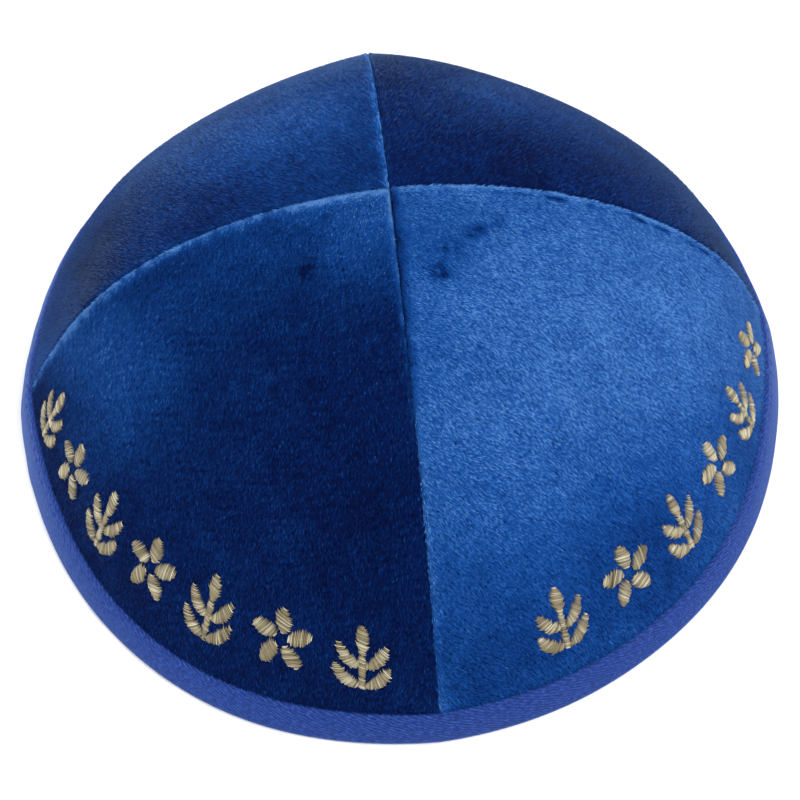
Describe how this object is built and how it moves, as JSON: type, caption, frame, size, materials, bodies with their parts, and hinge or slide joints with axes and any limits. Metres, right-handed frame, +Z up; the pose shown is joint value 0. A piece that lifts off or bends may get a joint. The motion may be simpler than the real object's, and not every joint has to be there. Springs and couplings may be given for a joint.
{
  "type": "kippah skullcap",
  "caption": "Shallow velvet skullcap sewn from gores that meet at the crown, with a woven tape bound round the rim.",
  "frame": {"origin": "middle of the rim, on the surface that the cap rests on", "axes": "+Z up through the crown, -Y through the front seam, +X towards the right as seen from the front"},
  "size_m": [0.1646, 0.1735, 0.058],
  "materials": {
    "velvet": "short brushed pile, royal to navy blue",
    "binding_tape": "fine woven twill tape, blue-violet"
  },
  "bodies": {
    "root": {"panel_front_left": "velvet", "panel_front_right": "velvet", "panel_back_left": "velvet", "panel_back_right": "velvet", "rim_binding": "binding_tape"}
  },
  "joints": []
}
